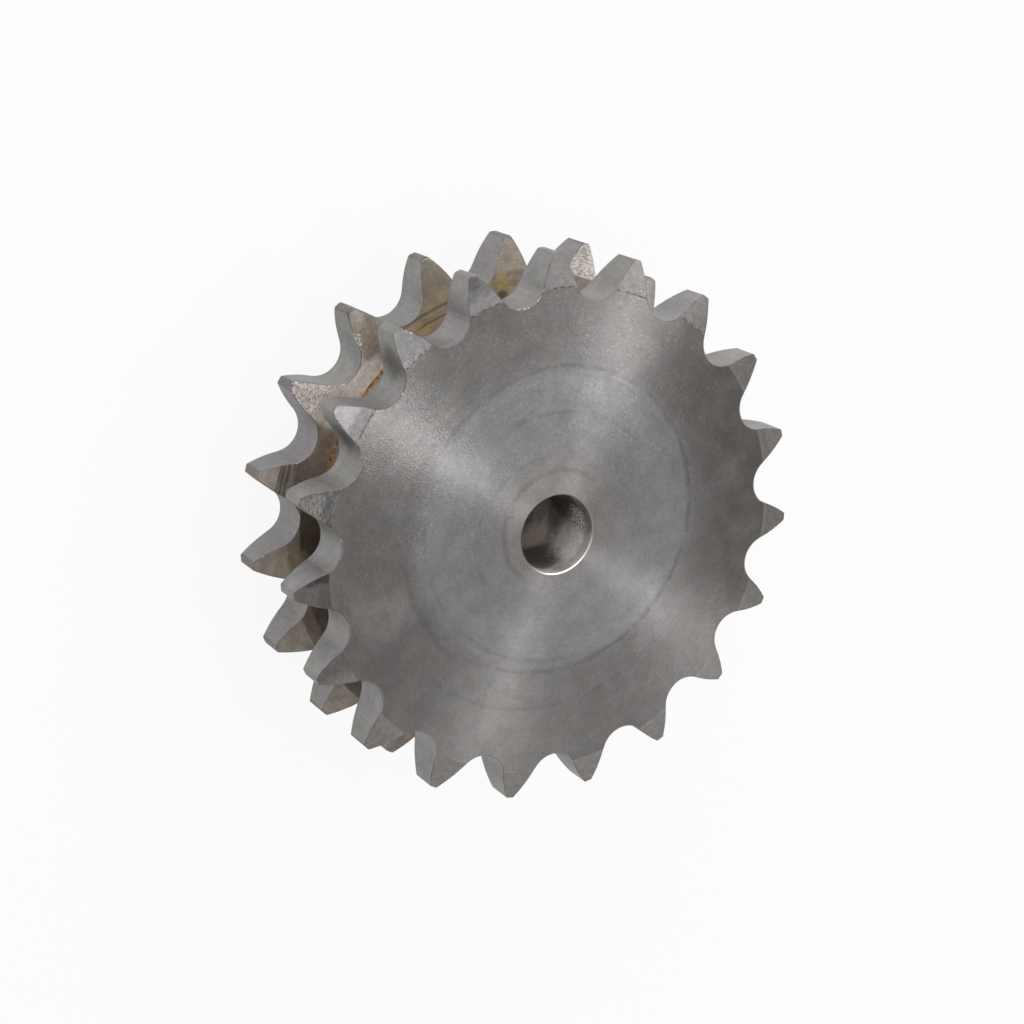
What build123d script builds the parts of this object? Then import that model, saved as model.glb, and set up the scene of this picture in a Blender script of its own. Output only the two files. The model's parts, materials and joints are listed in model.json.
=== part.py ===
"""Duplex roller chain sprocket: two rows of 19 teeth for 1 1/4 inch chain (20B-2), with a plain pilot
bore and a hub on one side, turned and hobbed from one piece of steel.

+Z runs up the bore. The hub's end face is z = 0, where the sprocket rests, and the plain face of the
upper row is uppermost. +X runs through the middle of one tooth of each row. Sizes are millimetres.
"""

import os
from math import cos, pi, radians, sin, sqrt

from build123d import *

# Chain: two strands of 1 1/4 x 3/4 inch roller chain side by side
PITCH = 31.75  # between the middles of neighbouring rollers
ROLLER_D = 19.05
ROW_PITCH = 36.45  # between the middles of the two strands
PLATE_HEIGHT = 26.4  # how tall the inner plates stand

# Teeth
TEETH = 19  # in each row
TOOTH_WIDTH = 18.2  # from side to side, between the chain's inner plates
ADDENDUM = 7.6  # how far the tips stand above the pitch circle
RELIEF_LENGTH = 12.5  # how far down from the tip the sides of a tooth are tapered
OUTER_RELIEF = 3.1  # what the taper takes off the outer sides of the rows at the tip
GROOVE_RELIEF = 3.6  # the same, on the sides that face the groove between the rows

# Turned body
PLATE_GAP = 2.6  # between the floor of the groove and the edge of a seated inner plate
BORE_D = 30.0
BORE_CHAMFER = 1.0
HUB_D = 120.0
HUB_LENGTH = 25.35  # how far the hub stands out from the lower row
HUB_CHAMFER = 1.5

# Tooth form of ISO 606, between its smallest and its largest tooth gap
half_pitch_angle = pi / TEETH
pitch_r = PITCH / 2 / sin(half_pitch_angle)
tip_r = pitch_r + ADDENDUM
seat_r = 0.505 * ROLLER_D
seat_half_angle = radians(132.5 - 90 / TEETH) / 2
flank_r = 0.12 * ROLLER_D * (TEETH + 2)

# Radii and heights of the turned steps, from the hub's end face up
bore_r = BORE_D / 2
hub_r = HUB_D / 2
groove_r = pitch_r * cos(half_pitch_angle) - PLATE_HEIGHT / 2 - PLATE_GAP
relief_r = tip_r - RELIEF_LENGTH
lower_row_z = HUB_LENGTH
groove_z = lower_row_z + TOOTH_WIDTH
upper_row_z = lower_row_z + ROW_PITCH
top_z = upper_row_z + TOOTH_WIDTH

half_section = [
    # Bore and hub
    (bore_r, BORE_CHAMFER),
    (bore_r + BORE_CHAMFER, 0),
    (hub_r - HUB_CHAMFER, 0),
    (hub_r, HUB_CHAMFER),
    (hub_r, lower_row_z),
    # Lower row, tapered towards the tips
    (relief_r, lower_row_z),
    (tip_r, lower_row_z + OUTER_RELIEF),
    (tip_r, groove_z - GROOVE_RELIEF),
    (relief_r, groove_z),
    # Groove for the chain's inner plates
    (groove_r, groove_z),
    (groove_r, upper_row_z),
    # Upper row
    (relief_r, upper_row_z),
    (tip_r, upper_row_z + GROOVE_RELIEF),
    (tip_r, top_z - OUTER_RELIEF),
    (relief_r, top_z),
    (bore_r + BORE_CHAMFER, top_z),
    (bore_r, top_z - BORE_CHAMFER),
]

# One tooth gap, centred on +X: a roller's seat, with a convex flank rising from each end of it
seat_bottom = (pitch_r - seat_r, 0)
seat_end_x = pitch_r - seat_r * cos(seat_half_angle)
flank_centre_x = pitch_r - (seat_r + flank_r) * cos(seat_half_angle)
flank_centre_y = (seat_r + flank_r) * sin(seat_half_angle)
gap_end_x = tip_r + 0.5  # just clear of the tips


def flank_y(x):
    """Half the width of the gap where it crosses x."""
    return flank_centre_y - sqrt(flank_r**2 - (x - flank_centre_x) ** 2)


def flank(side):
    """Three points along a flank, from the seat out, for the side +1 or -1 of the gap."""
    return [(x, side * flank_y(x)) for x in (seat_end_x, (seat_end_x + gap_end_x) / 2, gap_end_x)]


left, right = flank(1), flank(-1)

with BuildSketch() as tooth_gap:
    with BuildLine():
        ThreePointArc(left[0], seat_bottom, right[0])
        ThreePointArc(*left)
        ThreePointArc(*right)
        Line(left[2], right[2])
    make_face()

with BuildPart() as sprocket:
    # Turned blank
    with BuildSketch(Plane.XZ):
        with BuildLine():
            Polyline(*half_section, close=True)
        make_face()
    revolve(axis=Axis.Z)

    # Tooth gaps, hobbed through both rows at once so that their teeth line up
    with BuildSketch(Plane.XY.offset(lower_row_z)):
        with PolarLocations(0, TEETH, 180 / TEETH):
            add(tooth_gap.sketch)
    extrude(amount=top_z - lower_row_z, mode=Mode.SUBTRACT)

sprocket.part.label = "sprocket"
os.makedirs("parts", exist_ok=True)
export_step(sprocket.part, "parts/sprocket.step")
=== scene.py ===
"""The looks of the duplex chain sprocket: bare turned and hobbed steel, with soft edges and light stains.

Lengths are metres in the sprocket's own frame, with +Z up its bore and its hub's end face at z = 0.
Azimuths are degrees from +X towards +Y. The tables of marks, films and spots are in degrees and millimetres.
"""

import json
from math import acos, atan2, cos, pi, radians, sin, sqrt

import bmesh
import bpy
from mathutils import Matrix, Vector, noise


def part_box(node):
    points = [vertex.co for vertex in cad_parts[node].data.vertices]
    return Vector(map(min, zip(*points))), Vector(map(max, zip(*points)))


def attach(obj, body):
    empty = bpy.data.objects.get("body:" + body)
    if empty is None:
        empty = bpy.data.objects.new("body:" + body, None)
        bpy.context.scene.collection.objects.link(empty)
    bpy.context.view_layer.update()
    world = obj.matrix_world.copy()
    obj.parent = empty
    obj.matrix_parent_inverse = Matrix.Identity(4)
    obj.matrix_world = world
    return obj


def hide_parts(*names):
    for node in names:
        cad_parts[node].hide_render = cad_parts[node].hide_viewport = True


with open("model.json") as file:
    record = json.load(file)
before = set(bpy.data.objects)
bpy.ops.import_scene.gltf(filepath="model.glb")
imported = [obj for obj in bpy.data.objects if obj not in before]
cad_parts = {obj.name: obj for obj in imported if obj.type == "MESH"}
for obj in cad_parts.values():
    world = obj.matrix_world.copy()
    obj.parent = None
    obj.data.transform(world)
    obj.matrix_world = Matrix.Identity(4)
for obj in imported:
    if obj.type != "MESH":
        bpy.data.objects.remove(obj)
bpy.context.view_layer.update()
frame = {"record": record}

MM = 0.001

# ---- Sizes that the solid has too
TEETH = 19
PITCH = 31.75 * MM
ROLLER_D = 19.05 * MM
PLATE_HEIGHT = 26.4 * MM  # how tall the chain's inner plates stand
TOOTH_WIDTH = 18.2 * MM
ADDENDUM = 7.6 * MM
RELIEF_LENGTH = 12.5 * MM  # how far down from the tips the sides of the teeth are tapered
OUTER_RELIEF = 3.1 * MM  # what the taper takes off at the tips, on the outer sides of the rows
GROOVE_RELIEF = 3.6 * MM  # and on the sides that face the groove between them
PLATE_GAP = 2.6 * MM  # between the groove's floor and a seated inner plate
HUB_R = 60 * MM
HUB_CHAMFER = 1.5 * MM

# ---- Finish and wear, which the solid leaves out
BORE_CHAMFER = 0.4 * MM  # as the photograph shows it; the solid has 1 mm
TIP_CORNER_R = 0.4 * MM  # how round the corners of the tips are
EDGE_R = 0.22 * MM  # how far the sharp edges are broken
EDGE_VARIATION = 0.6  # the share by which that changes along the outline
EDGE_WAVE = 2.5 * MM  # and the length over which it does
WORN_AZIMUTH = -132  # the tips here are worn rounder
WORN_FOCUS = 6  # a higher number keeps the wear closer to that azimuth
WORN_CORNER = 1.0 * MM  # how much rounder across the teeth
WORN_EDGE = 0.75 * MM  # and along them, on the lower row
WORN_LENGTH = 6 * MM  # how far down from the tips the wear reaches
CREASE_GAP = 0.3 * MM  # from the side's last ring to the broken edge, where a gap is deeper than the taper

# ---- How finely the mesh follows each curve
SEAT_STEPS = 10
SEAT_END_STEPS = 2
FLANK_STEPS = 8
CORNER_STEPS = 4
TIP_STEPS = 2
EDGE_STEPS = 3

mounts = {m["name"]: m for m in frame["record"]["mounts"]}
bore_r = mounts["bore"]["dims"]["r_mm"] * MM
top_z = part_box("sprocket")[1].z
lower_z = mounts["lower_chain_row"]["pos_m"][2] - TOOTH_WIDTH / 2
upper_z = mounts["upper_chain_row"]["pos_m"][2] - TOOTH_WIDTH / 2
groove_z = lower_z + TOOTH_WIDTH
pitch_r = PITCH / 2 / sin(pi / TEETH)
tip_r = pitch_r + ADDENDUM
relief_r = tip_r - RELIEF_LENGTH
# Tooth form of ISO 606, between its smallest and its largest tooth gap
seat_r = 0.505 * ROLLER_D
seat_half_angle = radians(132.5 - 90 / TEETH) / 2
flank_r = 0.12 * ROLLER_D * (TEETH + 2)
# Just below the inner plates of a seated chain
groove_r = pitch_r * cos(pi / TEETH) - PLATE_HEIGHT / 2 - PLATE_GAP


# ---- The toothed outline
def arc(centre, radius, start, end, steps):
    """Points on an arc with the directions from its centre, leaving out the last one."""
    found = []
    for k in range(steps):
        a = start + (end - start) * k / steps
        d = Vector((cos(a), sin(a)))
        found.append((Vector(centre) + radius * d, d))
    return found


def worn(azimuth):
    """How worn a tip at this azimuth in radians is, from 0 to 1."""
    return max(0.0, cos(azimuth - radians(WORN_AZIMUTH))) ** WORN_FOCUS


def half_gap(tip_corner_r):
    """(point, outward normal) from the bottom of a gap centred on +X up to the middle of the next tip."""
    seat = Vector((pitch_r, 0))
    reach = seat_r + flank_r
    flank = Vector((pitch_r - reach * cos(seat_half_angle), reach * sin(seat_half_angle)))
    # The corner's circle touches the flank and the tip circle from inside
    to_flank = flank_r - tip_corner_r
    to_axis = tip_r - tip_corner_r
    d = flank.length
    along = (to_axis**2 - to_flank**2 + d**2) / (2 * d)
    across = sqrt(to_axis**2 - along**2)
    u = flank / d
    corner = u * along + Vector((u.y, -u.x)) * across
    flank_end = atan2(*(corner - flank).yx)
    corner_end = atan2(corner.y, corner.x)
    # Where the side taper starts on the seat
    at_relief = acos((pitch_r**2 + seat_r**2 - relief_r**2) / (2 * pitch_r * seat_r))
    on_seat = arc(seat, seat_r, pi, pi - at_relief, SEAT_STEPS)
    on_seat += arc(seat, seat_r, pi - at_relief, pi - seat_half_angle, SEAT_END_STEPS)
    points = [(p, -n) for p, n in on_seat]
    points += arc(flank, flank_r, -seat_half_angle, flank_end, FLANK_STEPS)
    points += arc(corner, tip_corner_r, flank_end, corner_end, CORNER_STEPS)
    points += arc((0, 0), tip_r, corner_end, pi / TEETH, TIP_STEPS)
    return points


def mirrored(v):
    return Vector((v.x, -v.y))


def outline():
    """The closed outline of a row, anticlockwise from the bottom of the first gap."""
    tip = Vector((cos(pi / TEETH), sin(pi / TEETH)))
    step = 2 * pi / TEETH
    points = []
    for k in range(TEETH):
        rising = half_gap(TIP_CORNER_R + WORN_CORNER * worn((k + 1) * step))
        falling = [(mirrored(p), mirrored(n)) for p, n in reversed(rising[1:])]
        here = Matrix.Rotation((k + 0.5) * step, 2)
        after = Matrix.Rotation((k + 1.5) * step, 2)
        points += [(here @ p, here @ n) for p, n in rising]
        points.append((here @ (tip * tip_r), here @ tip))
        points += [(after @ p, after @ n) for p, n in falling]
    return points


# ---- Finishes, one for each way that a surface was made
FINISHES = ["faced", "tapered", "hobbed", "grooved", "groove_floor", "bored", "chamfered", "broken_edge"]


def side(point, normal, edge, base, up, relief):
    """Positions on one side of a row: the start of its taper, then its broken edge out to the teeth's wall.

    base is the height of the side, up is 1 where the steel is above it and -1 where it is below, and relief
    is what the taper takes off at the tips.
    """
    rim = point - normal * edge
    crease = point.normalized() * min(relief_r, rim.length - CREASE_GAP)
    positions = [(*crease, base)]
    for k in range(EDGE_STEPS + 1):
        turn = k / EDGE_STEPS * pi / 2
        p = point - normal * edge * (1 - sin(turn))
        tapered_z = base + up * relief * max(0, p.length - relief_r) / RELIEF_LENGTH
        positions.append((*p, tapered_z + up * edge * (1 - cos(turn))))
    return positions


def row(point, normal, edge, bottom, low, high):
    """One row of teeth along a radial line, up one side, round the wall and in along the other.

    low and high are the relief of each side, and the finishes of its taper and of the rest of it. Gives
    (position, finish of the next face, sharp) for each point.
    """
    low_relief, low_taper, _ = low
    high_relief, high_taper, high_side = high
    positions = side(point, normal, edge, bottom, 1, low_relief)
    positions += reversed(side(point, normal, edge, bottom + TOOTH_WIDTH, -1, high_relief))
    edge_faces = ["broken_edge"] * EDGE_STEPS
    finishes = [low_taper, *edge_faces, "hobbed", *edge_faces, high_taper, high_side]
    sharp = [True, *[False] * (len(positions) - 2), True]
    return list(zip(positions, finishes, sharp))


def section(point, normal, edge):
    """The whole section along one radial line, from the bore's edge at the hub out and back to the bore."""
    radial = point.normalized()
    near_tip = min(1.0, max(0.0, (point.length - tip_r) / WORN_LENGTH + 1)) ** 2
    worn_edge = edge + WORN_EDGE * near_tip * worn(atan2(point.y, point.x))

    def at(radius, z, finish):
        return ((*(radial * radius), z), finish, True)

    outside = (OUTER_RELIEF, "tapered", "faced")
    groove = (GROOVE_RELIEF, "grooved", "grooved")
    return [
        at(bore_r, BORE_CHAMFER, "chamfered"),
        at(bore_r + BORE_CHAMFER, 0, "faced"),
        at(HUB_R - HUB_CHAMFER, 0, "faced"),
        at(HUB_R, HUB_CHAMFER, "faced"),
        at(HUB_R, lower_z, "faced"),
        *row(point, normal, worn_edge, lower_z, outside, groove),
        at(groove_r, groove_z, "groove_floor"),
        at(groove_r, upper_z, "grooved"),
        *row(point, normal, edge, upper_z, groove, outside),
        at(bore_r + BORE_CHAMFER, top_z, "chamfered"),
        at(bore_r, top_z - BORE_CHAMFER, "bored"),
    ]


def build_sprocket(materials):
    """The sprocket as one closed mesh: the section at each point of the outline, joined round the axis."""
    mesh = bpy.data.meshes.new("sprocket_steel")
    for name in FINISHES:
        mesh.materials.append(materials[name])
    sections = []
    for point, normal in outline():
        wave = noise.noise(Vector((point.x, point.y, 0)) * (1 / EDGE_WAVE))
        sections.append(section(point, normal, EDGE_R * (1 + EDGE_VARIATION * wave)))
    bm = bmesh.new()
    columns = [[bm.verts.new(position) for position, _, _ in rings] for rings in sections]
    rings = sections[0]  # every section has the same finishes and sharp edges
    count = len(rings)
    for here, after in zip(columns, columns[1:] + columns[:1]):
        for k, (_, finish, sharp) in enumerate(rings):
            following = (k + 1) % count
            face = bm.faces.new((here[k], here[following], after[following], after[k]))
            face.material_index = FINISHES.index(finish)
            face.smooth = True
            if sharp:
                bm.edges.get((here[k], after[k])).smooth = False
    bmesh.ops.recalc_face_normals(bm, faces=bm.faces)
    bm.to_mesh(mesh)
    bm.free()
    piece = bpy.data.objects.new("sprocket_steel", mesh)
    bpy.context.scene.collection.objects.link(piece)
    weigh = piece.modifiers.new("weighted normals", "WEIGHTED_NORMAL")
    weigh.keep_sharp = True
    weigh.weight = 80
    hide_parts("sprocket")
    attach(piece, "root")


# ---- Materials. Where a steel has two tones, it varies between them.
NOISE_SPAN = (0.3, 0.7)  # most of a noise lies between these


class Nodes:
    """A material's node tree, built by short calls. Positions are the object's own, in metres."""

    def __init__(self, name):
        self.material = bpy.data.materials.new(name)
        self.material.use_nodes = True
        self.tree = self.material.node_tree
        self.tree.nodes.clear()
        self.place = self.node("ShaderNodeTexCoord").outputs["Object"]
        self.x, self.y, self.z = self.node("ShaderNodeSeparateXYZ", {0: self.place}).outputs
        self.radius = self.length(self.x, self.y)
        self.ux = self.math("DIVIDE", self.x, self.radius)
        self.uy = self.math("DIVIDE", self.y, self.radius)
        self.fray = self.minus(self.noise(self.place, 1 / (4 * MM), detail=4, rough=0.6), 0.5)

    def link(self, value, socket):
        """Joins a node's output to a socket, or sets a plain value on it."""
        if isinstance(value, bpy.types.NodeSocket):
            self.tree.links.new(value, socket)
        else:
            socket.default_value = value

    def node(self, kind, inputs=None, **settings):
        """A new node with its settings, and with its inputs linked or set."""
        made = self.tree.nodes.new(kind)
        for key, value in settings.items():
            setattr(made, key, value)
        for key, value in (inputs or {}).items():
            self.link(value, made.inputs[key])
        return made

    def math(self, operation, *values):
        made = self.node("ShaderNodeMath", operation=operation)
        for socket, value in zip(made.inputs, values):
            self.link(value, socket)
        return made.outputs[0]

    def plus(self, *values):
        total = values[0]
        for value in values[1:]:
            total = self.math("ADD", total, value)
        return total

    def minus(self, a, b):
        return self.math("SUBTRACT", a, b)

    def times(self, *values):
        product = values[0]
        for value in values[1:]:
            product = self.math("MULTIPLY", product, value)
        return product

    def linear(self, value, gain, offset):
        """value × gain + offset"""
        return self.math("MULTIPLY_ADD", value, gain, offset)

    def length(self, x, y):
        return self.math("SQRT", self.plus(self.times(x, x), self.times(y, y)))

    def vector(self, x, y, z):
        return self.node("ShaderNodeCombineXYZ", {0: x, 1: y, 2: z}).outputs[0]

    def vector_math(self, operation, a, b=None):
        inputs = {0: a} if b is None else {0: a, 1: b}
        return self.node("ShaderNodeVectorMath", inputs, operation=operation)

    def noise(self, vector, scale=1.0, detail=2, rough=0.5):
        inputs = {"Vector": vector, "Scale": scale, "Detail": detail, "Roughness": rough}
        return self.node("ShaderNodeTexNoise", inputs).outputs["Fac"]

    def clouds(self, size, detail=3, seed=0):
        """Even patches about this size."""
        moved = self.vector_math("ADD", self.place, (seed, seed, 0)).outputs[0]
        return self.noise(moved, 1 / size, detail)

    def round_grain(self, along, across, detail=2, rough=0.6, seed=0):
        """Streaks that run round the axis, this long at the pitch circle and this wide."""
        turns = pitch_r / along
        rise = self.linear(self.plus(self.radius, self.z), 1 / across, seed)
        place = self.vector(self.times(self.ux, turns), self.times(self.uy, turns), rise)
        return self.noise(place, 1.0, detail, rough)

    def ramp(self, value, span, levels=(0.0, 1.0)):
        """A smooth step from one level, where the value is at its span's start, to the next at its end."""
        inputs = {"Value": value}
        inputs |= {"From Min": span[0], "From Max": span[1], "To Min": levels[0], "To Max": levels[1]}
        return self.node("ShaderNodeMapRange", inputs, interpolation_type="SMOOTHSTEP").outputs["Result"]

    def mottle(self, grain, darkest, lightest):
        """A noise made to range between two levels."""
        return self.ramp(grain, NOISE_SPAN, (darkest, lightest))

    def line(self, value, centre, width):
        """1 where the value is at the centre, falling to 0 at this width from it."""
        return self.ramp(self.math("ABSOLUTE", self.minus(value, centre)), (0.0, width), (1.0, 0.0))

    def mix(self, share, a, b):
        """A colour between a and b."""
        made = self.node("ShaderNodeMix", {0: share}, data_type="RGBA")
        for index, colour in ((6, a), (7, b)):
            self.link((*colour, 1) if isinstance(colour, tuple) else colour, made.inputs[index])
        return made.outputs[2]

    def scale(self, colour, level):
        """A colour made lighter or darker by a number."""
        made = self.vector_math("SCALE", colour)
        self.link(level, made.inputs["Scale"])
        return made.outputs[0]

    def shade(self, level, share, left):
        """A brightness times left where the share is 1, and as it was where the share is 0."""
        return self.times(level, self.linear(share, left - 1, 1.0))

    def smear(self, level, left, azimuth, radius, size, z=None):
        """A brightness times left in the middle of a blotch."""
        return self.times(level, self.ramp(self.blotch(azimuth, radius, size, z), (0.0, 1.0), (1.0, left)))

    def from_point(self, x, y):
        """How far a place is in x and y from a point of the sprocket's face that is given in millimetres."""
        return self.minus(self.x, x * MM), self.minus(self.y, y * MM)

    def towards(self, ux, uy, azimuth):
        """The cosine of the angle between a direction and this azimuth."""
        a = radians(azimuth)
        return self.plus(self.times(ux, cos(a)), self.times(uy, sin(a)))

    def sector(self, ux, uy, first, last, fade):
        """1 for directions between two azimuths, falling to 0 this many degrees outside them."""
        half = (last - first) / 2
        outside = cos(radians(min(half + fade, 180)))
        return self.ramp(self.towards(ux, uy, (first + last) / 2), (outside, cos(radians(half))))

    def film(self, azimuth, spread, full_at=None):
        """1 in the middle of a sector of the sprocket, falling to 0 this many degrees from it.

        With full_at it is full wherever it would be above that share.
        """
        share = self.ramp(self.towards(self.ux, self.uy, azimuth), (cos(radians(spread)), 1.0))
        return share if full_at is None else self.ramp(share, (0.0, full_at))

    def blotch(self, azimuth, radius, size, z=None):
        """1 round a place, given in degrees and millimetres, falling to 0 this many millimetres from it."""
        a = radians(azimuth)
        off = self.length(*self.from_point(radius * cos(a), radius * sin(a)))
        if z is not None:
            off = self.length(off, self.minus(self.z, z * MM))
        return self.ramp(self.linear(self.fray, size * MM, off), (size * MM, 0.35 * size * MM))

    def bump(self, height, distance):
        return self.node("ShaderNodeBump", {"Height": height, "Distance": distance}).outputs["Normal"]

    def finish(self, colour, roughness, normal, metallic=1.0, aniso=0.0):
        """The steel's shader. Its tangent runs across the turning marks, which go round the axis."""
        inputs = {"Base Color": colour, "Roughness": roughness, "Metallic": metallic, "Normal": normal}
        shader = self.node("ShaderNodeBsdfPrincipled", inputs)
        if aniso:
            face = self.node("ShaderNodeNewGeometry").outputs["Normal"]
            round_axis = self.vector(self.times(self.y, -1.0), self.x, 0.0)
            across = self.vector_math("CROSS_PRODUCT", face, round_axis).outputs[0]
            self.link(self.vector_math("NORMALIZE", across).outputs[0], shader.inputs["Tangent"])
            shader.inputs["Anisotropic"].default_value = aniso
        self.node("ShaderNodeOutputMaterial", {"Surface": shader.outputs[0]})
        return self.material


# ---- The turned front face, and the other faces that were turned with it
FACE_INNER = (0.303, 0.296, 0.308)  # steel inside the stain's edge
FACE_OUTER = (0.268, 0.258, 0.258)  # and outside it
FACE_COLLAR = (0.35, 0.33, 0.31)
COLLAR_SHARE = 0.7
FACE_RIM = (0.24, 0.227, 0.218)
RIM_SHARE = 0.4
FACE_DARK_TONE = (0.1, 0.09, 0.082)
FACE_BROWN = (0.262, 0.228, 0.2)
STAIN_CENTRE = (-5.0, -2.6)
INNER_STAIN_R = 57 * MM  # the face is cleaner inside this radius
COLLAR_R = 25 * MM  # and lighter and warmer inside this one, round the bore
COLLAR_FADE = 6 * MM  # how softly that ends
RIM_SPAN = (60 * MM, 90 * MM)  # it grows darker over these radii
DARK_SECTOR_SPAN = (48 * MM, 80 * MM)  # and the darkening in those sectors grows over these radii
# Darker sectors towards the rim: azimuth, spread and share
FACE_DARK_SECTORS = [(128, 70, 0.63), (224, 26, 0.2), (303, 48, 0.33)]
# Rings rubbed into the face: centre, radius, half width, how much darker (or lighter, below 0), and the
# first and last azimuth round that centre
RUB_RINGS = [
    ((-4, -3.5), 58, 2.0, 0.15, 50, 140),
    ((-4, -3.5), 58.4, 1.4, 0.15, 5, 212),
    (STAIN_CENTRE, 54.4, 1.4, 0.16, -65, 35),
    (STAIN_CENTRE, 54.4, 1.4, 0.10, 168, 197),
    (STAIN_CENTRE, 57.3, 1.9, 0.16, 192, 258),
    (STAIN_CENTRE, 65.3, 1.6, 0.09, 200, 245),
    (STAIN_CENTRE, 63, 2.4, 0.19, -50, -20),
    ((0.9, -4), 68.2, 1.4, 0.12, -12, 66),
    ((-0.5, -1), 45.5, 1.4, 0.14, 165, 228),
    ((-2, -1), 22.3, 1.9, 0.20, 170, 345),
    ((2, -1), 31.7, 1.4, 0.11, 215, 320),
    (STAIN_CENTRE, 51, 1.2, 0.07, 95, 135),
    ((0, 0), 64, 1.6, 0.06, 262, 302),
    (STAIN_CENTRE, 55.2, 2.7, -0.06, 120, 175),
    (STAIN_CENTRE, 52.8, 2.7, -0.07, 205, 255),
]
RING_FADE = 10  # the rings fade out over this many degrees past their ends
PAINTED_GLINT = (-45.5, 8, 58, 88)  # a painted glint, a patch made lighter along a radius: azimuth, spread, and the radii that it lies between
PAINTED_GLINT_FADE = 8  # how softly it starts and ends
PAINTED_GLINT_LEVEL = 1.3  # how light it leaves the steel
SPARKLE_SECTOR = (-135, 110)  # broken turning marks, painted lighter as sparkle, most on this side where the glints fall: azimuth and spread
SPECK_AND_SPARKLE_GAIN = 0.27  # how much lighter the specks and the painted sparkle make the steel
FACE_ROUGHNESS = (0.46, 0.3)  # at the bore and towards the rim


def face_colour(n, stain_r, outer):
    """Steel with a stain's edge round it, a warm collar at the bore, and darker sectors towards the rim."""
    colour = n.mix(outer, FACE_INNER, FACE_OUTER)
    collar = n.ramp(stain_r, (COLLAR_R - COLLAR_FADE, COLLAR_R + COLLAR_FADE), (COLLAR_SHARE, 0.0))
    colour = n.mix(collar, colour, FACE_COLLAR)
    colour = n.mix(n.times(n.ramp(n.radius, RIM_SPAN), RIM_SHARE), colour, FACE_RIM)
    for azimuth, spread, share in FACE_DARK_SECTORS:
        film = n.times(n.film(azimuth, spread), n.ramp(n.radius, DARK_SECTOR_SPAN), share)
        colour = n.mix(film, colour, FACE_DARK_TONE)
    patches = n.ramp(n.clouds(9 * MM, detail=4, seed=7), (0.42, 0.72))
    return n.mix(n.times(patches, n.ramp(outer, (0.0, 1.0), (0.25, 0.5))), colour, FACE_BROWN)


def face_mottle(n):
    """Thin oil and handling leave the face mottled at every scale."""
    return n.times(
        n.mottle(n.clouds(34 * MM), 0.93, 1.07),
        n.mottle(n.clouds(7 * MM, seed=21), 0.93, 1.07),
        n.mottle(n.clouds(1.6 * MM, detail=2, seed=23), 0.95, 1.05),
        n.mottle(n.clouds(0.55 * MM, detail=1, seed=27), 0.96, 1.04),
        n.ramp(n.round_grain(11 * MM, 0.4 * MM, detail=3), (0.25, 0.75), (0.95, 1.05)),
    )


def rub_rings(n, level, wobble):
    """The face's brightness with its rub rings, ragged and broken."""
    breaks = n.ramp(n.clouds(7 * MM, seed=11), (0.35, 0.55), (0.2, 1.0))
    ragged = n.plus(n.times(wobble, 0.25), n.times(n.fray, 1.6 * MM))
    for centre, ring_r, width, depth, first, last in RUB_RINGS:
        off_x, off_y = n.from_point(*centre)
        off = n.length(off_x, off_y)
        round_centre = n.math("DIVIDE", off_x, off), n.math("DIVIDE", off_y, off)
        ring = n.line(n.plus(off, ragged), ring_r * MM, width * MM)
        rubbed = n.times(ring, n.sector(*round_centre, first, last, RING_FADE), breaks, depth)
        level = n.times(level, n.minus(1.0, rubbed))
    return level


def painted_glint_patch(n):
    """A painted glint: a patch of the face made lighter."""
    azimuth, spread, low, high = PAINTED_GLINT
    return n.times(
        n.film(azimuth, spread),
        n.ramp(n.radius, (low * MM, (low + PAINTED_GLINT_FADE) * MM)),
        n.ramp(n.radius, (high * MM, (high - PAINTED_GLINT_FADE) * MM)),
        n.ramp(n.clouds(5 * MM, seed=5), (0.3, 0.6), (0.4, 1.0)),
    )


def specks_and_sparkle(n):
    """Broken turning marks, thick in some patches and thin in others, painted lighter as sparkle where the
    glints fall.
    """
    return n.times(
        n.ramp(n.round_grain(1.7 * MM, 0.5 * MM, detail=1, rough=0.5, seed=29), (0.52, 0.66)),
        n.ramp(n.clouds(8 * MM, seed=31), (0.4, 0.6), (0.3, 1.0)),
        n.ramp(n.film(*SPARKLE_SECTOR), (0.1, 0.6), (0.2, 1.0)),
    )


def faced():
    n = Nodes("faced_steel")
    wobble = n.linear(n.clouds(22 * MM, detail=2, seed=3), 5 * MM, -2.5 * MM)
    stain_r = n.plus(n.length(*n.from_point(*STAIN_CENTRE)), wobble)
    outer = n.ramp(stain_r, (INNER_STAIN_R - 3 * MM, INNER_STAIN_R + 5 * MM))
    # The face's brightness, with its rub rings and a painted glint
    level = n.shade(rub_rings(n, face_mottle(n), wobble), painted_glint_patch(n), PAINTED_GLINT_LEVEL)
    colour = n.scale(face_colour(n, stain_r, outer), level)
    colour = n.scale(colour, n.linear(specks_and_sparkle(n), SPECK_AND_SPARKLE_GAIN, 1.0))
    sparkle = n.clouds(0.6 * MM, detail=2, seed=5)
    feed = n.round_grain(30 * MM, 0.35 * MM, detail=1, rough=0.5, seed=9)
    height = n.linear(sparkle, 1.5, n.times(feed, 0.6))
    roughness = n.ramp(n.radius, (15 * MM, 75 * MM), FACE_ROUGHNESS)
    # A thin dull skin covers the middle
    metallic = n.ramp(outer, (0.0, 1.0), (0.8, 1.0))
    return n.finish(colour, roughness, normal=n.bump(height, 0.02 * MM), metallic=metallic, aniso=1.0)


# ---- The tapers on the outer sides of the teeth
TAPER_STEEL = [(0.288, 0.276, 0.268), (0.318, 0.306, 0.3)]
# Handling has left them bluish on one side and brownish elsewhere, most at the tips
TAPER_BLUE = (0.295, 0.284, 0.31)
TAPER_BROWN = (0.3, 0.265, 0.232)
TINT_SHARE = 0.45
BLUISH_SECTOR = (-113, 50)  # azimuth and spread
TORN_STEEL = (0.7, 0.69, 0.68)
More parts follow.
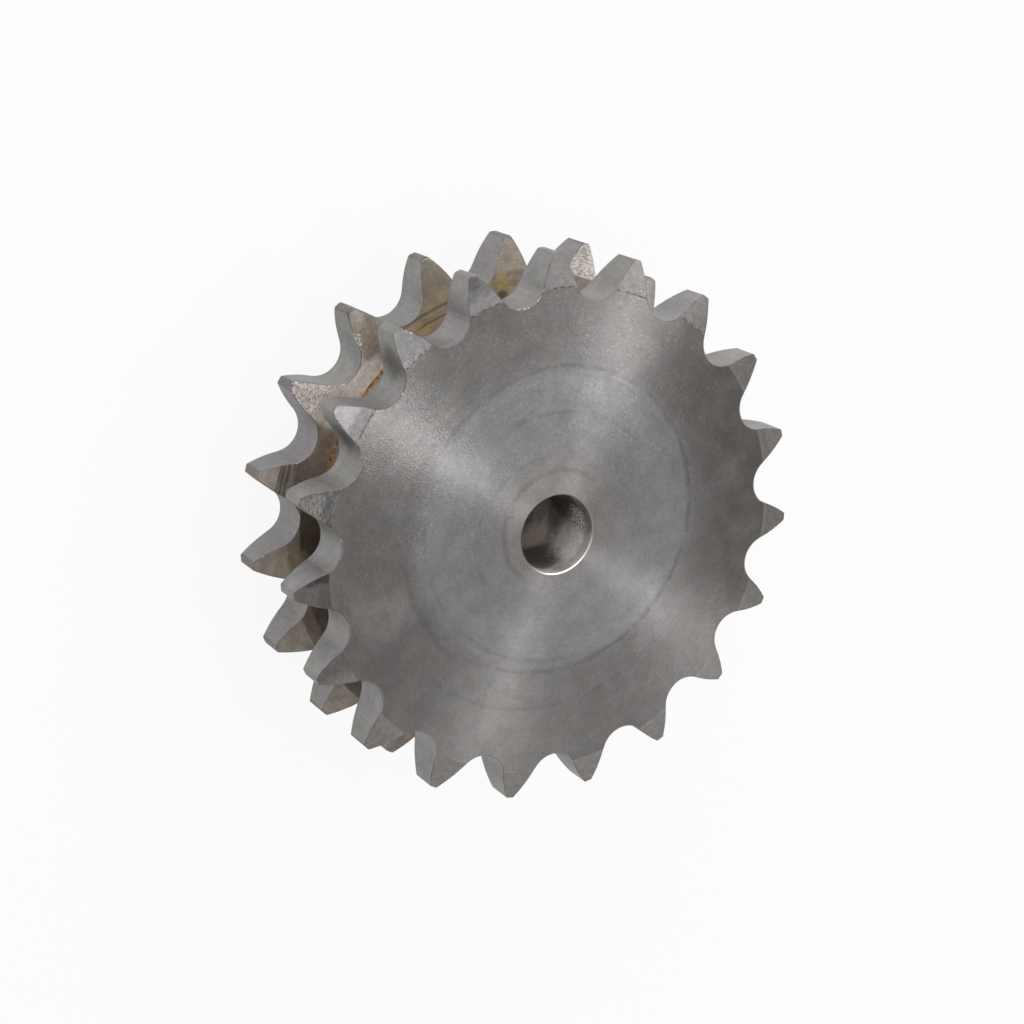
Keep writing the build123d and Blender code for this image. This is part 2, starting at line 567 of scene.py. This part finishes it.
# Films over them, and painted highlights where they leave the steel lighter: azimuth, spread, lowest and
# highest radius, and how light they leave the steel
TAPER_FILMS_AND_HIGHLIGHTS = [
    (132, 46, 88, 112, 0.78),
    (132, 10, 96, 112, 1.18),
    (76, 12, 88, 112, 1.15),
    (-19, 10, 96, 112, 0.92),
    (-54, 21, 88, 112, 0.64),
    (-57, 10, 88, 96, 0.82),
    (-76, 11, 88, 96, 0.67),
    (-95, 11, 96.5, 112, 1.5),
    (-133, 11, 96, 112, 0.76),
    (-152, 14, 88, 112, 0.9),
    (-171, 10, 96, 112, 1.12),
    (171, 11, 88, 96, 0.88),
]
# Dark smears on them, the first one painted shade beside the worn tip: azimuth, radius, size and how light
# they leave the steel
TAPER_SMEARS_AND_SHADE = [
    (-132, 101.5, 4, 0.7),
    (-79, 97.5, 3.5, 0.65),
    (-77.5, 101.5, 3, 0.65),
    (-60.5, 93.5, 4, 0.55),
    (-59.5, 97.5, 3.5, 0.6),
]
SCORED_TAPER = (-77, 12)  # where the cut is rough: azimuth and spread
SHADED_CREASE_SECTOR = (-195, -85)  # where the tapers start at a dark ragged tool line, deepened as painted shade
LIT_CREASE_SECTOR = (20, 150)  # and where they start at a faint light line, a painted highlight
TORN_SECTORS = [(-114, 14), (-176, 26)]  # where torn steel glitters beside the line: azimuth and spread


def taper_films(n, level):
    """The tapers' brightness with the films, painted highlights, smears and painted shade on them, and with
    the rough cut of one tooth.
    """
    frayed_r = n.linear(n.fray, 4 * MM, n.radius)
    for azimuth, spread, low, high, left in TAPER_FILMS_AND_HIGHLIGHTS:
        within = n.times(
            n.film(azimuth, spread, full_at=0.5),
            n.ramp(frayed_r, ((low - 1) * MM, (low + 1) * MM)),
            n.ramp(frayed_r, ((high + 1) * MM, (high - 1) * MM)),
        )
        level = n.shade(level, within, left)
    grain = n.round_grain(1.9 * MM, 0.42 * MM, seed=15)
    scores = n.ramp(grain, (0.38, 0.62), (-0.32, 0.16))
    level = n.times(level, n.linear(scores, n.film(*SCORED_TAPER, full_at=0.5), 1.0))
    for azimuth, radius, size, left in TAPER_SMEARS_AND_SHADE:
        level = n.smear(level, left, azimuth, radius, size)
    return level


def taper_starts(n, level):
    """The tapers' brightness where they start: the tool's ragged line, darkened as painted shade on one side,
    and a faint painted highlight on the other.
    """
    ragged = n.linear(n.noise(n.place, 1 / (1.2 * MM), detail=3), 0.9 * MM, -0.45 * MM)
    crease_shade = n.times(
        n.line(n.plus(n.radius, ragged), relief_r + 0.25 * MM, 0.6 * MM),
        n.ramp(n.clouds(2.5 * MM, seed=2), (0.35, 0.6), (0.0, 0.7)),
        n.sector(n.ux, n.uy, *SHADED_CREASE_SECTOR, 8),
    )
    crease_highlight = n.times(
        n.line(n.radius, relief_r + 0.9 * MM, 1.0 * MM),
        n.sector(n.ux, n.uy, *LIT_CREASE_SECTOR, 15),
        0.14,
    )
    return n.times(level, n.minus(1.0, crease_shade), n.plus(crease_highlight, 1.0))


def tapered():
    n = Nodes("tapered_steel")
    streaks = n.round_grain(2.2 * MM, 0.35 * MM, detail=3, rough=0.65)
    bluish = n.film(*BLUISH_SECTOR)
    brownish = n.times(n.minus(1.0, bluish), n.ramp(n.radius, (96 * MM, 104 * MM), (0.35, 1.0)))
    colour = n.mix(n.clouds(9 * MM), *TAPER_STEEL)
    colour = n.mix(n.times(bluish, TINT_SHARE), colour, TAPER_BLUE)
    colour = n.mix(n.times(brownish, TINT_SHARE), colour, TAPER_BROWN)
    level = n.times(
        n.ramp(streaks, (0.25, 0.75), (0.87, 1.1)),
        n.mottle(n.clouds(2.2 * MM, seed=31), 0.92, 1.08),
        n.mottle(n.clouds(0.6 * MM, detail=1, seed=33), 0.93, 1.07),
    )
    colour = n.scale(colour, taper_starts(n, taper_films(n, level)))
    torn = n.ramp(n.clouds(0.7 * MM, detail=2, seed=35), (0.56, 0.68))
    glitter = n.times(torn, n.ramp(n.radius, (97 * MM, 93 * MM), (0.0, 0.5)))
    for azimuth, spread in TORN_SECTORS:
        colour = n.mix(n.times(glitter, n.film(azimuth, spread)), colour, TORN_STEEL)
    height = n.plus(streaks, n.noise(n.place, 1 / (0.9 * MM)))
    return n.finish(colour, roughness=0.43, normal=n.bump(height, 0.05 * MM), aniso=0.8)


# ---- The walls of the teeth
HOBBED_STEEL = [(0.312, 0.309, 0.29), (0.336, 0.317, 0.325)]
TIP_SKIN = (0.205, 0.172, 0.148)  # the brown skin of the turned blank
HOB_MARKS = (0.5 * MM, 14 * MM)  # how wide and long the hob's marks are
# Painted shade on the upper row's flanks and painted light on the lower row's: azimuth, radius, size, z and
# how light they leave the steel
FLANK_SHADE_AND_LIGHT = [
    (-108.5, 94, 9, 71, 0.6),
    (-90, 94, 9, 71, 0.6),
    (-68, 94, 9, 71, 0.85),
    (-100, 92, 16, 34, 1.25),
]


def hobbed():
    n = Nodes("hobbed_steel")
    # Marks of the hob run along the axis, and the film of oil on them is patchy
    wide, long = HOB_MARKS
    marks = n.noise(n.vector(n.times(n.x, 1 / wide), n.times(n.y, 1 / wide), n.times(n.z, 1 / long)))
    colour = n.mix(n.ramp(n.clouds(9 * MM), (0.35, 0.65)), *HOBBED_STEEL)
    level = n.times(
        n.mottle(n.clouds(14 * MM, seed=45), 0.93, 1.06),
        n.mottle(marks, 0.95, 1.05),
        n.mottle(n.clouds(3 * MM, seed=41), 0.94, 1.06),
        n.mottle(n.clouds(0.7 * MM, detail=1, seed=43), 0.93, 1.07),
    )
    # Painted shade and painted light on the flanks
    for azimuth, radius, size, z, left in FLANK_SHADE_AND_LIGHT:
        level = n.smear(level, left, azimuth, radius, size, z)
    colour = n.scale(colour, level)
    # The tips keep the blank's skin, more of it on the lower row
    skin = n.ramp(n.linear(n.fray, 1 * MM, n.radius), (tip_r - 1.0 * MM, tip_r - 0.2 * MM))
    uneven_z = n.plus(n.z, n.times(n.clouds(5 * MM, seed=9), 40 * MM))
    share = n.ramp(uneven_z, (40 * MM, 90 * MM), (0.85, 0.2))
    colour = n.mix(n.times(skin, share), colour, TIP_SKIN)
    roughness = n.mottle(n.clouds(7 * MM, seed=4), 0.42, 0.5)
    return n.finish(colour, roughness, normal=n.bump(marks, 0.01 * MM), metallic=0.87)


# ---- The groove between the rows
# Black, painted shade where little light reaches the groove
BLACK_SHADE = (0.11, 0.085, 0.062)
GLINT = (0.9, 0.89, 0.87)
GROOVE_STEEL = (0.27, 0.23, 0.183)  # under its film of old oil
GROOVE_TAPER_STEEL = (0.3, 0.262, 0.216)
GROOVE_MARK_R = 86.7 * MM  # a faint ring on its sides
# Old oil in it, with painted light between azimuths -180 and -95 and painted shade between -60 and -15:
# azimuth, spread, its shares on the tapers, on the ring and inside it, and its colour
GROOVE_OIL_LIGHT_AND_SHADE = [
    (-143, 36, 0.0, 1.0, 1.0, (0.42, 0.345, 0.24)),
    (-178, 12, 0.0, 1.0, 1.0, (0.31, 0.28, 0.25)),
    (-101, 13, 0.0, 0.75, 1.0, (0.76, 0.7, 0.65)),
    (-58, 18, 0.0, 0.0, 1.0, BLACK_SHADE),
    (-39, 12, 0.0, 0.2, 0.9, (0.14, 0.115, 0.09)),
    (-19, 10, 0.0, 1.0, 1.0, (0.17, 0.15, 0.13)),
    (-171, 11, 1.0, 0.0, 0.0, (0.5, 0.455, 0.42)),
    (171, 9, 1.0, 0.0, 0.0, (0.38, 0.36, 0.335)),
    (-95, 11, 1.0, 0.0, 0.0, (0.63, 0.565, 0.53)),
    (-127, 11, 0.6, 0.0, 0.0, (0.22, 0.185, 0.145)),
    (-75, 8, 0.3, 0.6, 0.0, (0.2, 0.17, 0.145)),
    (-19, 10, 0.8, 0.0, 0.0, (0.34, 0.3, 0.255)),
]
# Spots of it, the one at -111 and 89 mm painted shade cast by a tooth of the upper row: azimuth, radius,
# size, share and colour
GROOVE_SPOTS_AND_SHADE = [
    (-149, 87, 3.5, 0.8, (0.48, 0.39, 0.14)),
    (-149, 83.2, 2.5, 0.9, (0.13, 0.1, 0.06)),
    (-154, 89.5, 4, 0.6, (0.36, 0.28, 0.24)),
    (-126, 80.5, 4, 0.8, (0.52, 0.36, 0.2)),
    (-120.5, 81, 3, 0.8, (0.36, 0.36, 0.17)),
    (-56, 89, 7, 0.8, (0.36, 0.29, 0.2)),
    (-113, 101, 6, 0.8, (0.44, 0.4, 0.35)),
    (-76, 101.5, 8, 0.9, (0.43, 0.37, 0.335)),
    (-111, 89, 5, 0.7, (0.27, 0.235, 0.19)),
]
# Dark strokes of the tool: radius, half width, first and last azimuth
TOOL_STROKES = [(86.3, 1.1, -134, -118), (82.6, 0.8, -136, -125)]
# Where a taper is scored: first and last azimuth, lowest and highest radius
SCORED_PART = (-84, -70, 91.9, 96.9)
TORN_TAPERS = [(-95, 12), (-171, 13)]  # where the tapers are torn: azimuth and spread
# Torn steel that glitters: azimuth, radius and size
GROOVE_GLINTS = [(-110.6, 96, 3), (-109.8, 93, 2.5), (-99, 92, 3.5), (-97, 101, 3)]
# Rust in the groove's corners: first and last azimuth, and how far up the floor it creeps from the lower one
RUST_STRIPS = [(-110.5, -100.5, 1.9), (-88.5, -79.5, 2.9)]
RUST_ON_SIDE = 0.6 * MM  # how far it creeps along the sides
RUST_DARK = (0.115, 0.07, 0.03)
RUST_TAN = (0.47, 0.275, 0.115)
RUST_PALE = (0.66, 0.5, 0.36)
FLOOR_STEEL = [(0.345, 0.332, 0.32), (0.385, 0.372, 0.365)]
FLOOR_OIL = (0.23, 0.19, 0.145)
SHADED_FLOOR_SECTOR = (-56, 24)  # where the floor is painted black as shade: azimuth and spread


def rusted(n, colour, share, first, last):
    """A colour with rust over it between two azimuths, tan to brown with pale crumbs."""
    rust = n.mix(n.ramp(n.clouds(1.1 * MM, seed=61), (0.35, 0.55)), RUST_DARK, RUST_TAN)
    rust = n.mix(n.ramp(n.clouds(0.9 * MM, detail=2, seed=63), (0.52, 0.66)), rust, RUST_PALE)
    return n.mix(n.times(share, n.sector(n.ux, n.uy, first, last, 0.8)), colour, rust)


def groove_colour(n, taper, frayed_r):
    """The colour of the groove's sides: a film of old oil, in other tones from tooth to tooth, with painted
    light and painted shade, and with spots.
    """
    inside = n.ramp(frayed_r, (GROOVE_MARK_R + 0.4 * MM, GROOVE_MARK_R - 0.4 * MM))
    ring = n.minus(n.minus(1.0, taper), inside)
    colour = n.mix(taper, GROOVE_STEEL, GROOVE_TAPER_STEEL)
    for azimuth, spread, on_taper, on_ring, on_inside, tone in GROOVE_OIL_LIGHT_AND_SHADE:
        share = n.plus(n.times(taper, on_taper), n.times(ring, on_ring), n.times(inside, on_inside))
        colour = n.mix(n.times(n.film(azimuth, spread, full_at=0.5), share), colour, tone)
    for azimuth, radius, size, share, tone in GROOVE_SPOTS_AND_SHADE:
        colour = n.mix(n.times(n.blotch(azimuth, radius, size), share), colour, tone)
    return colour


def tool_marks(n, level, taper, frayed_r):
    """The brightness of the groove's sides with the tool's strokes, a scored taper and torn ones."""
    for radius, half, first, last in TOOL_STROKES:
        stroke = n.times(n.line(frayed_r, radius * MM, half * MM), n.sector(n.ux, n.uy, first, last, 3))
        level = n.shade(level, stroke, 0.5)
    first, last, low, high = SCORED_PART
    scored = n.times(
        n.sector(n.ux, n.uy, first, last, 2),
        n.ramp(frayed_r, ((low - 0.3) * MM, (low + 0.3) * MM)),
        n.ramp(frayed_r, ((high + 0.3) * MM, (high - 0.3) * MM)),
    )
    strokes = n.ramp(n.round_grain(14 * MM, 0.65 * MM, seed=5), (0.57, 0.45), (0.12, 0.62))
    level = n.times(level, n.minus(1.0, n.times(scored, strokes)))
    tears = n.ramp(n.round_grain(1.5 * MM, 0.38 * MM, seed=13), (0.35, 0.65), (-0.4, 0.3))
    for azimuth, spread in TORN_TAPERS:
        torn = n.times(tears, taper, n.film(azimuth, spread, full_at=0.4))
        level = n.times(level, n.plus(torn, 1.0))
    return level


def grooved():
    """The sides of the groove between the rows, with the tapers next to them."""
    n = Nodes("grooved_steel")
    frayed_r = n.linear(n.fray, 1.2 * MM, n.radius)
    taper = n.ramp(n.radius, (relief_r - 0.2 * MM, relief_r + 0.2 * MM))
    streaks = n.round_grain(16 * MM, 1.3 * MM, detail=3)
    level = n.times(
        n.mottle(streaks, 0.93, 1.06),
        n.mottle(n.round_grain(3 * MM, 0.5 * MM, seed=7), 0.93, 1.07),
        n.mottle(n.clouds(4 * MM, detail=4, seed=51), 0.86, 1.14),
        n.mottle(n.clouds(0.8 * MM, detail=2, seed=53), 0.9, 1.1),
    )
    colour = n.scale(groove_colour(n, taper, frayed_r), tool_marks(n, level, taper, frayed_r))
    glints = n.ramp(n.clouds(0.7 * MM, detail=2, seed=57), (0.52, 0.62))
    for azimuth, radius, size in GROOVE_GLINTS:
        colour = n.mix(n.times(glints, n.blotch(azimuth, radius, size), 0.9), colour, GLINT)
    reach = groove_r + RUST_ON_SIDE
    on_side = n.ramp(n.linear(n.fray, 2 * MM, n.radius), (reach + 0.3 * MM, reach - 0.3 * MM))
    for first, last, _ in RUST_STRIPS:
        colour = rusted(n, colour, on_side, first, last)
    height = n.plus(streaks, n.times(n.clouds(1.2 * MM, seed=55), 0.5))
    return n.finish(colour, roughness=0.42, normal=n.bump(height, 0.03 * MM), metallic=0.4, aniso=0.8)


def groove_floor():
    n = Nodes("groove_floor_steel")
    colour = n.mix(n.clouds(11 * MM), *FLOOR_STEEL)
    # Old oil lies in patches, and along both corners
    above_edge = n.minus(n.z, groove_z)
    up = n.linear(n.fray, 4 * MM, above_edge)
    in_corner = n.ramp(n.math("MINIMUM", up, n.minus(upper_z - groove_z, up)), (0.0, 3 * MM), (0.45, 0.0))
    patches = n.ramp(n.clouds(13 * MM, detail=4, seed=91), (0.46, 0.66), (0.0, 0.6))
    colour = n.mix(n.math("MAXIMUM", in_corner, patches), colour, FLOOR_OIL)
    # Painted shade on the floor, on the side where little light reaches
    colour = n.mix(n.times(n.film(*SHADED_FLOOR_SECTOR, full_at=0.5), 0.9), colour, BLACK_SHADE)
    level = n.times(
        n.mottle(n.round_grain(9 * MM, 0.5 * MM, detail=3), 0.92, 1.07),
        n.mottle(n.clouds(2.5 * MM, seed=93), 0.93, 1.07),
    )
    colour = n.scale(colour, level)
    out_of_corner = n.linear(n.fray, 2 * MM, above_edge)
    for first, last, reach in RUST_STRIPS:
        on_floor = n.ramp(out_of_corner, ((reach + 0.4) * MM, (reach - 0.4) * MM))
        colour = rusted(n, colour, on_floor, first, last)
    marks = n.round_grain(12 * MM, 0.5 * MM)
    return n.finish(colour, roughness=0.45, normal=n.bump(marks, 0.01 * MM), metallic=0.6)


# ---- The bore, its chamfers and the broken edges
BORE_STEEL = [(0.44, 0.4, 0.36), (0.58, 0.55, 0.52)]
# Painted sheen, the light ones, and painted shade, the dark ones, in the bore: azimuth, z, size, share and
# colour
BORE_SHEEN_AND_SHADE = [
    (82, 66, 12, 1.0, (0.98, 0.97, 0.95)),
    (100, 69, 7, 0.7, (0.94, 0.93, 0.98)),
    (68, 46, 10, 1.0, (0.98, 0.89, 0.78)),
    (141, 66, 12, 1.0, (0.1, 0.075, 0.07)),
    (133, 54, 11, 1.0, (0.08, 0.062, 0.056)),
    (28, 66, 12, 1.0, (0.15, 0.125, 0.105)),
    (42, 57, 9, 0.95, (0.17, 0.145, 0.12)),
    (103, 52, 6, 0.65, (0.26, 0.24, 0.2)),
    (103, 42, 5, 0.8, (0.36, 0.34, 0.28)),
    (86, 34.5, 6, 0.85, (0.2, 0.185, 0.165)),
    (122, 76, 6, 0.75, (0.26, 0.245, 0.23)),
    (42, 77, 6, 0.6, (0.3, 0.27, 0.25)),
    (130, 77, 7, 0.75, (0.19, 0.175, 0.165)),
    (152, 76, 6, 0.8, (0.17, 0.155, 0.145)),
]
BORE_SPARKLE = (118, 69, 8)  # painted sparkle of bright specks in the sheen: azimuth, z and size
SPARKLE_TONE = (0.85, 0.84, 0.82)
CHAMFER_STEEL = [(0.36, 0.345, 0.34), (0.46, 0.445, 0.44)]
CHAMFER_HIGHLIGHT = (0.95, 0.94, 0.93)
CHAMFER_HIGHLIGHT_SECTOR = (0, 85)  # where a painted highlight stands for the softbox mirrored in the chamfer
# Darker than the other steels: painted shade that keeps the rounded edges from showing as light lines
EDGE_STEEL_SHADED = [(0.13, 0.12, 0.118), (0.25, 0.24, 0.235)]
# Where burrs on the edges catch the light: azimuth, radius, size and z
BURRS = [
    (-110.5, 95.5, 5, 42.5),
    (-99, 91, 6, 43),
    (-116, 101, 5, 78),
    (-143, 88, 9, 80),
    (-160, 94, 6, 79),
    (-88, 92, 6, 79),
]


def bored():
    n = Nodes("bored_steel")
    colour = n.mix(n.mottle(n.clouds(6 * MM, detail=4, seed=6), 0.0, 1.0), *BORE_STEEL)
    for azimuth, z, size, share, tone in BORE_SHEEN_AND_SHADE:
        colour = n.mix(n.times(n.blotch(azimuth, bore_r / MM, size, z), share), colour, tone)
    # Painted sparkle in the sheen
    azimuth, z, size = BORE_SPARKLE
    bore_sparkle = n.ramp(n.clouds(0.8 * MM, seed=71), (0.42, 0.58))
    colour = n.mix(n.times(bore_sparkle, n.blotch(azimuth, bore_r / MM, size, z)), colour, SPARKLE_TONE)
    level = n.times(
        n.mottle(n.clouds(1.5 * MM, seed=73), 0.9, 1.12),
        n.mottle(n.round_grain(6 * MM, 0.7 * MM, detail=3), 0.93, 1.08),
    )
    marks = n.round_grain(40 * MM, 0.4 * MM)
    return n.finish(n.scale(colour, level), roughness=0.4, normal=n.bump(marks, 0.01 * MM), metallic=0.1)


def chamfered():
    n = Nodes("chamfered_steel")
    colour = n.mix(n.clouds(3 * MM), *CHAMFER_STEEL)
    # A painted highlight on the chamfer
    colour = n.mix(n.sector(n.ux, n.uy, *CHAMFER_HIGHLIGHT_SECTOR, 30), colour, CHAMFER_HIGHLIGHT)
    return n.finish(colour, roughness=0.38, normal=n.bump(n.round_grain(12 * MM, 0.2 * MM), 0.005 * MM))


def broken_edge():
    n = Nodes("broken_edges")
    colour = n.mix(n.ramp(n.clouds(6 * MM), (0.35, 0.65)), *EDGE_STEEL_SHADED)
    glints = n.ramp(n.clouds(0.9 * MM, detail=2, seed=81), (0.5, 0.62))
    share = n.ramp(n.clouds(7 * MM, detail=2, seed=83), (0.58, 0.7), (0.0, 0.7))
    for azimuth, radius, size, z in BURRS:
        share = n.math("MAXIMUM", share, n.blotch(azimuth, radius, size, z))
    colour = n.mix(n.times(glints, share), colour, GLINT)
    return n.finish(colour, roughness=0.4, normal=n.bump(n.clouds(0.8 * MM, detail=2), 0.03 * MM))


def make_materials():
    return {
        "faced": faced(),
        "tapered": tapered(),
        "hobbed": hobbed(),
        "grooved": grooved(),
        "groove_floor": groove_floor(),
        "bored": bored(),
        "chamfered": chamfered(),
        "broken_edge": broken_edge(),
    }


# ---- Floor, light and camera
FLOOR_HALF = 12.0
FLOOR_TONE = (0.92, 0.92, 0.92, 1)
FLOOR_WHITE = (1, 1, 1, 1)
WHITE_TO_CAMERA = 0.9  # how much of the floor's white the camera sees, in place of its lit colour
WHITE_TO_GLOSS = 0.25  # and the metal
# The photograph's viewpoint, as fitted to the outlines of both rows
CAMERA_AZIMUTH = -94.14
CAMERA_ELEVATION = 56.83
CAMERA_ROLL = 118.64
CAMERA_DISTANCE = 869.2 * MM
CAMERA_AIM = Vector((1.0, 3.9, 40.0)) * MM
CAMERA_LENS = 80.0
CAMERA_SENSOR = 36.0


def direction(azimuth, elevation):
    """A unit vector at an azimuth and an elevation, in degrees."""
    a, e = radians(azimuth), radians(elevation)
    return Vector((cos(a) * cos(e), sin(a) * cos(e), sin(e)))


to_camera = direction(CAMERA_AZIMUTH, CAMERA_ELEVATION)


def build_floor():
    mesh = bpy.data.meshes.new("floor")
    corners = [(-1, -1), (1, -1), (1, 1), (-1, 1)]
    mesh.from_pydata([(x * FLOOR_HALF, y * FLOOR_HALF, 0) for x, y in corners], [], [(0, 1, 2, 3)])
    floor = bpy.data.objects.new("floor", mesh)
    bpy.context.scene.collection.objects.link(floor)
    n = Nodes("floor")
    diffuse = n.node("ShaderNodeBsdfDiffuse", {"Color": FLOOR_TONE}).outputs[0]
    white = n.node("ShaderNodeEmission", {"Color": FLOOR_WHITE, "Strength": 1.0}).outputs[0]
    path = n.node("ShaderNodeLightPath").outputs
    seen = n.times(path["Is Camera Ray"], WHITE_TO_CAMERA)
    share = n.math("MAXIMUM", seen, n.times(path["Is Glossy Ray"], WHITE_TO_GLOSS))
    mixed = n.node("ShaderNodeMixShader", {0: share, 1: diffuse, 2: white})
    n.node("ShaderNodeOutputMaterial", {"Surface": mixed.outputs[0]})
    mesh.materials.append(n.material)


def build_lamp(name, width, height, power, towards, distance, turn):
    """A rectangular lamp at a distance from the sprocket's front face, turned by a quaternion."""
    lamp = bpy.data.lights.new(name, "AREA")
    lamp.shape = "RECTANGLE"
    lamp.size = width
    lamp.size_y = height
    lamp.energy = power
    made = bpy.data.objects.new(name, lamp)
    made.location = towards * distance + Vector((0, 0, top_z))
    made.rotation_mode = "QUATERNION"
    made.rotation_quaternion = turn
    bpy.context.scene.collection.objects.link(made)


def build_softbox(name, azimuth, elevation, width, height, power, distance=1.2):
    """A softbox that faces the sprocket."""
    towards = direction(azimuth, elevation)
    build_lamp(name, width, height, power, towards, distance, towards.to_track_quat("Z", "Y"))


def build_strip(name, line_angle, tilt, power, length=1.1, width=0.12, distance=2.2):
    """A strip light whose glint runs across the turned face along a line at this angle, in degrees.

    The turning marks mirror a light towards the camera wherever the half-way direction leans along the
    radius. tilt is how far it leans at the middle of the strip.
    """
    leaning = direction(line_angle + 180, 90 - tilt)
    towards = 2 * leaning.dot(to_camera) * leaning - to_camera
    along = direction(line_angle, 0)
    along.z = -along.dot(towards) / towards.z
    along.normalize()
    axes = Matrix((along, towards.cross(along), towards)).transposed()
    build_lamp(name, length, width, power, towards, distance, axes.to_quaternion())


def build_world(strength):
    world = bpy.data.worlds.new("studio")
    world.use_nodes = True
    background = world.node_tree.nodes["Background"].inputs
    background["Color"].default_value = (1, 1, 1, 1)
    background["Strength"].default_value = strength
    bpy.context.scene.world = world


def build_camera():
    camera = bpy.data.cameras.new("camera")
    camera.lens = CAMERA_LENS
    camera.sensor_width = CAMERA_SENSOR
    made = bpy.data.objects.new("camera", camera)
    made.location = CAMERA_AIM + to_camera * CAMERA_DISTANCE
    made.rotation_mode = "QUATERNION"
    level = (-to_camera).to_track_quat("-Z", "Y")
    made.rotation_quaternion = level @ Matrix.Rotation(radians(CAMERA_ROLL), 3, "Z").to_quaternion()
    bpy.context.scene.collection.objects.link(made)
    bpy.context.scene.camera = made


build_sprocket(make_materials())
build_floor()
build_world(strength=0.62)
build_softbox("side_softbox", azimuth=-157, elevation=19, width=2.4, height=0.6, power=11.0)
build_strip("key_strip", line_angle=3, tilt=14, power=3.15)
build_strip("top_strip", line_angle=81, tilt=14, power=4.3)
build_camera()
bpy.context.scene.view_settings.view_transform = "Standard"
